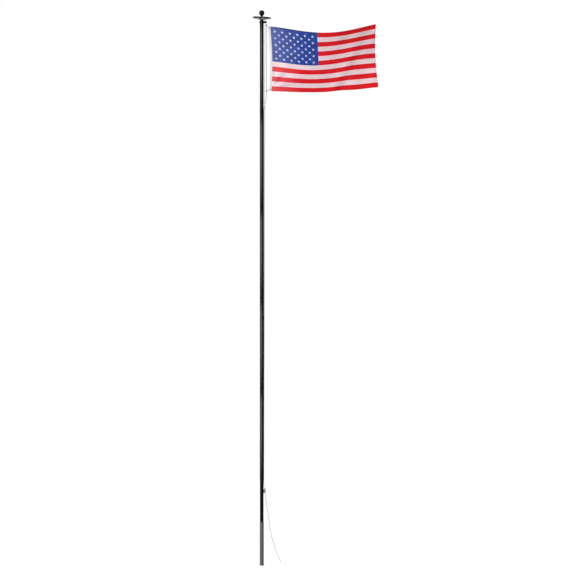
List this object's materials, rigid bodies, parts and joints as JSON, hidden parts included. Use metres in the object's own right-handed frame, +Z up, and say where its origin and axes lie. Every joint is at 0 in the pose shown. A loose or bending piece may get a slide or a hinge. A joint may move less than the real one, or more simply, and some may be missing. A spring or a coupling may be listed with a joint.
{
  "type": "flagpole",
  "caption": "Black sectional garden flagpole in a ground sleeve, with a pulley truck, disc light, ball finial, rope halyard on a cleat and a striped flag on snap hooks.",
  "frame": {"origin": "centre of the flat underside of the ground sleeve", "axes": "+Z up along the pole, +X towards the flag's fly, so the flag's face looks along -Y"},
  "size_m": [1.7593, 0.3174, 7.7738],
  "materials": {
    "grey_pvc": "extruded PVC, dull grey",
    "black_coat": "satin black powder coat on aluminium tube",
    "black_moulding": "fine-grained black moulding",
    "ball_gloss": "smooth black moulding",
    "pulley_nylon": "black nylon, polished in the groove",
    "bright_steel": "zinc-plated steel",
    "dark_steel": "blackened metal",
    "light_lens": "pale frosted plastic",
    "solar_cell": "dark blue cells under clear resin",
    "rope": "laid white polypropylene rope, weathered grey",
    "eyelet_brass": "pressed brass",
    "header_canvas": "white canvas",
    "flag_cloth": "red, white and blue woven polyester"
  },
  "bodies": {
    "pole": {"ground_sleeve": "grey_pvc", "base_section": "black_coat", "pole_section_1": "black_coat", "pole_section_2": "black_coat", "pole_section_3": "black_coat", "pole_section_4": "black_coat", "pole_section_5": "black_coat", "truck_cap": "black_moulding", "pulley_pin": "bright_steel", "light_housing": "black_moulding", "light_lens": "light_lens", "solar_panels": "solar_cell", "finial_collar": "black_moulding", "finial_spindle": "bright_steel", "finial_ball": "ball_gloss", "halyard_over_pulley": "rope", "halyard_hoist_leg": "rope", "halyard_fall_leg": "rope", "halyard_belay": "rope", "halyard_tail": "rope", "cleat": "black_moulding", "cleat_screws": "bright_steel", "upper_snap_hook": "dark_steel", "lower_snap_hook": "dark_steel", "upper_grommet": "eyelet_brass", "lower_grommet": "eyelet_brass", "flag_header": "header_canvas", "flag_cloth": "flag_cloth"},
    "sheave": {"pulley_sheave": "pulley_nylon"}
  },
  "joints": [
    {"name": "sheave_spin", "type": "hinge", "parent": "pole", "child": "sheave", "pos_m": [0.055, 0, 7.608], "axis": [0, 1, 0], "continuous": true}
  ]
}
